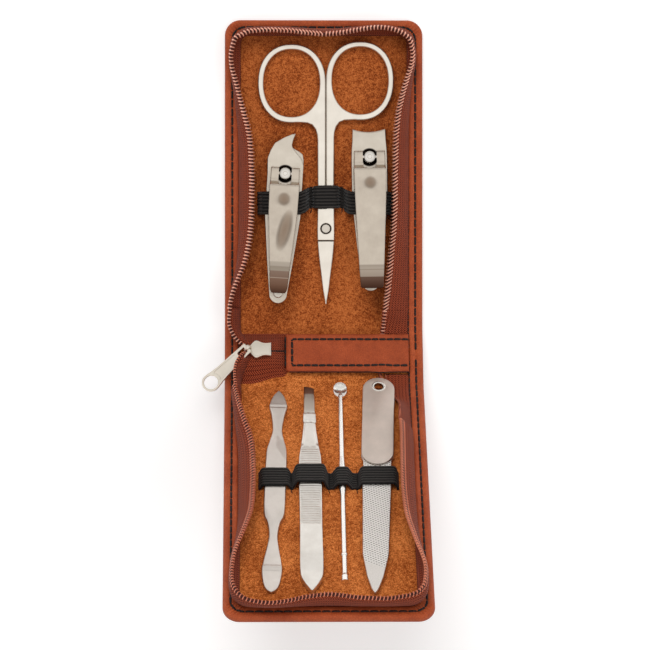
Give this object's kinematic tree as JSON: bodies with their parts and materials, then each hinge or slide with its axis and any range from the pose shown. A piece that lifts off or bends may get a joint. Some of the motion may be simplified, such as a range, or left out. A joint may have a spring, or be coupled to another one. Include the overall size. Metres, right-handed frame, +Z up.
{
  "type": "manicure set case",
  "caption": "Folding zip case in stitched leather, opened to show scissors, two lever clippers, cuticle pusher, tweezers, ear pick and nail file held under elastic bands.",
  "frame": {"origin": "middle of the flat half's underside, on the surface it lies on", "axes": "+X across the case to the right as pictured, +Y from the raised half towards the scissors' finger rings, +Z up"},
  "size_m": [0.0769, 0.2031, 0.0949],
  "materials": {
    "leather": "grained reddish brown leather",
    "padding": "thin foam padding",
    "board": "grey-brown stiffening board",
    "suede": "napped orange-brown suede",
    "zip_tape": "herringbone woven reddish brown tape",
    "zip_teeth": "copper coloured metal teeth",
    "elastic": "ribbed black elastic",
    "slider_metal": "satin silver metal",
    "satin_steel": "satin stainless steel",
    "bright_steel": "polished stainless steel",
    "file_steel": "cross-cut steel"
  },
  "bodies": {
    "base": {"base_cover": "leather", "base_padding": "padding", "base_board": "board", "base_lining": "suede", "base_zip_tape": "zip_tape", "base_zip_teeth": "zip_teeth", "base_zip_turn": "zip_teeth", "base_elastic": "elastic"},
    "spine": {"spine_cover": "leather", "spine_lining": "suede", "spine_zip_fold": "zip_tape", "spine_zip_teeth": "zip_teeth", "spine_flap": "leather"},
    "lid": {"lid_cover": "leather", "lid_padding": "padding", "lid_board": "board", "lid_lining": "suede", "lid_zip_tape": "zip_tape", "lid_zip_teeth": "zip_teeth", "lid_zip_turn": "zip_teeth", "lid_zip_end": "zip_tape", "lid_elastic": "elastic"},
    "slider": {"zip_slider": "slider_metal"},
    "pull": {"zip_pull": "slider_metal"},
    "scissors_pivot": {"scissors_rivet": "bright_steel"},
    "scissors_left_half": {"scissors_left": "satin_steel"},
    "scissors_right_half": {"scissors_right": "satin_steel"},
    "angled_body": {"angled_lower_leaf": "satin_steel", "angled_tail_rivet": "bright_steel"},
    "angled_jaw": {"angled_upper_leaf": "satin_steel"},
    "angled_post": {"angled_post": "bright_steel"},
    "angled_lever": {"angled_lever": "bright_steel"},
    "straight_body": {"straight_lower_leaf": "satin_steel", "straight_tail_rivet": "bright_steel"},
    "straight_jaw": {"straight_upper_leaf": "satin_steel"},
    "straight_post": {"straight_post": "bright_steel"},
    "straight_lever": {"straight_lever": "bright_steel"},
    "pusher": {"cuticle_pusher": "satin_steel"},
    "tweezer_lower": {"tweezer_lower_leg": "satin_steel"},
    "tweezer_upper": {"tweezer_upper_leg": "satin_steel"},
    "ear_pick": {"ear_pick": "satin_steel"},
    "file": {"file_blade": "file_steel", "file_handle": "satin_steel", "file_eyelet": "bright_steel"}
  },
  "joints": [
    {"name": "spine_fold", "type": "hinge", "parent": "base", "child": "spine", "pos_m": [0, -0.05325, 0.0033], "axis": [1, 0, 0], "range_deg": [-67, 23], "deforming": ["base_zip_turn", "lid_zip_turn", "lid_zip_end"]},
    {"name": "lid_fold", "type": "hinge", "parent": "spine", "child": "lid", "pos_m": [0, -0.0735, 0.0119], "axis": [1, 0, 0], "range_deg": [-67, 23]},
    {"name": "zip_slide", "type": "slide", "parent": "spine", "child": "slider", "axis": [1, 0, 0], "range_m": [0, 0.0045]},
    {"name": "pull_flip", "type": "hinge", "parent": "slider", "child": "pull", "pos_m": [-0.0266, -0.06111, 0.01294], "axis": [-0.682, 0.6732, -0.2858], "range_deg": [0, 100], "deforming": ["lid_zip_turn"]},
    {"name": "scissors_lift", "type": "slide", "parent": "base", "child": "scissors_pivot", "axis": [0, 0, 1], "range_m": [0, 0.03], "deforming": ["base_elastic"]},
    {"name": "scissors_open", "type": "hinge", "parent": "scissors_pivot", "child": "scissors_left_half", "pos_m": [0.0007, -0.01965, 0.0033], "axis": [0, 0, 1], "range_deg": [0, 4]},
    {"name": "scissors_open_right", "type": "hinge", "parent": "scissors_pivot", "child": "scissors_right_half", "pos_m": [0.0007, -0.01965, 0.0033], "axis": [0, 0, 1], "range_deg": [-4, 0]},
    {"name": "angled_lift", "type": "slide", "parent": "base", "child": "angled_body", "axis": [0, 0, 1], "range_m": [0, 0.03]},
    {"name": "angled_jaw_close", "type": "hinge", "parent": "angled_body", "child": "angled_jaw", "pos_m": [-0.01597, -0.04218, 0.00356], "axis": [-0.9982, 0.0593, 0], "range_deg": [0, 1.4], "stiffness_Nm_per_rad": 1},
    {"name": "angled_lever_swing", "type": "hinge", "parent": "angled_body", "child": "angled_post", "pos_m": [-0.0135, -0.00065, 0.0033], "axis": [0, 0, -1], "range_deg": [0, 180]},
    {"name": "angled_lever_tilt", "type": "hinge", "parent": "angled_post", "child": "angled_lever", "pos_m": [-0.0135, -0.00065, 0.0092], "axis": [-0.9982, 0.0593, 0], "range_deg": [0, 70]},
    {"name": "straight_lift", "type": "slide", "parent": "base", "child": "straight_body", "axis": [0, 0, 1], "range_m": [0, 0.03]},
    {"name": "straight_jaw_close", "type": "hinge", "parent": "straight_body", "child": "straight_jaw", "pos_m": [0.0164, -0.03785, 0.00356], "axis": [-0.9999, -0.014, 0], "range_deg": [0, 1.4], "stiffness_Nm_per_rad": 1},
    {"name": "straight_lever_swing", "type": "hinge", "parent": "straight_body", "child": "straight_post", "pos_m": [0.0158, 0.00515, 0.0033], "axis": [0, 0, 1], "range_deg": [0, 180]},
    {"name": "straight_lever_tilt", "type": "hinge", "parent": "straight_post", "child": "straight_lever", "pos_m": [0.0158, 0.00515, 0.0092], "axis": [-0.9999, -0.014, 0], "range_deg": [0, 70]},
    {"name": "pusher_lift", "type": "slide", "parent": "lid", "child": "pusher", "axis": [0, 0.7193, 0.6947], "range_m": [0, 0.03], "deforming": ["lid_elastic"]},
    {"name": "tweezer_lift", "type": "slide", "parent": "lid", "child": "tweezer_lower", "axis": [0, 0.7193, 0.6947], "range_m": [0, 0.03]},
    {"name": "tweezer_squeeze", "type": "hinge", "parent": "tweezer_lower", "child": "tweezer_upper", "pos_m": [-0.0054, -0.13537, 0.07755], "axis": [-1, 0, 0], "range_deg": [0, 1.5], "stiffness_Nm_per_rad": 0.4},
    {"name": "ear_pick_lift", "type": "slide", "parent": "lid", "child": "ear_pick", "axis": [0, 0.7193, 0.6947], "range_m": [0, 0.03]},
    {"name": "file_lift", "type": "slide", "parent": "lid", "child": "file", "axis": [0, 0.7193, 0.6947], "range_m": [0, 0.03]}
  ],
  "couplings": [
    {"joint": "lid_fold", "follows": "spine_fold", "ratio": 1},
    {"joint": "scissors_open_right", "follows": "scissors_open", "ratio": -1}
  ]
}
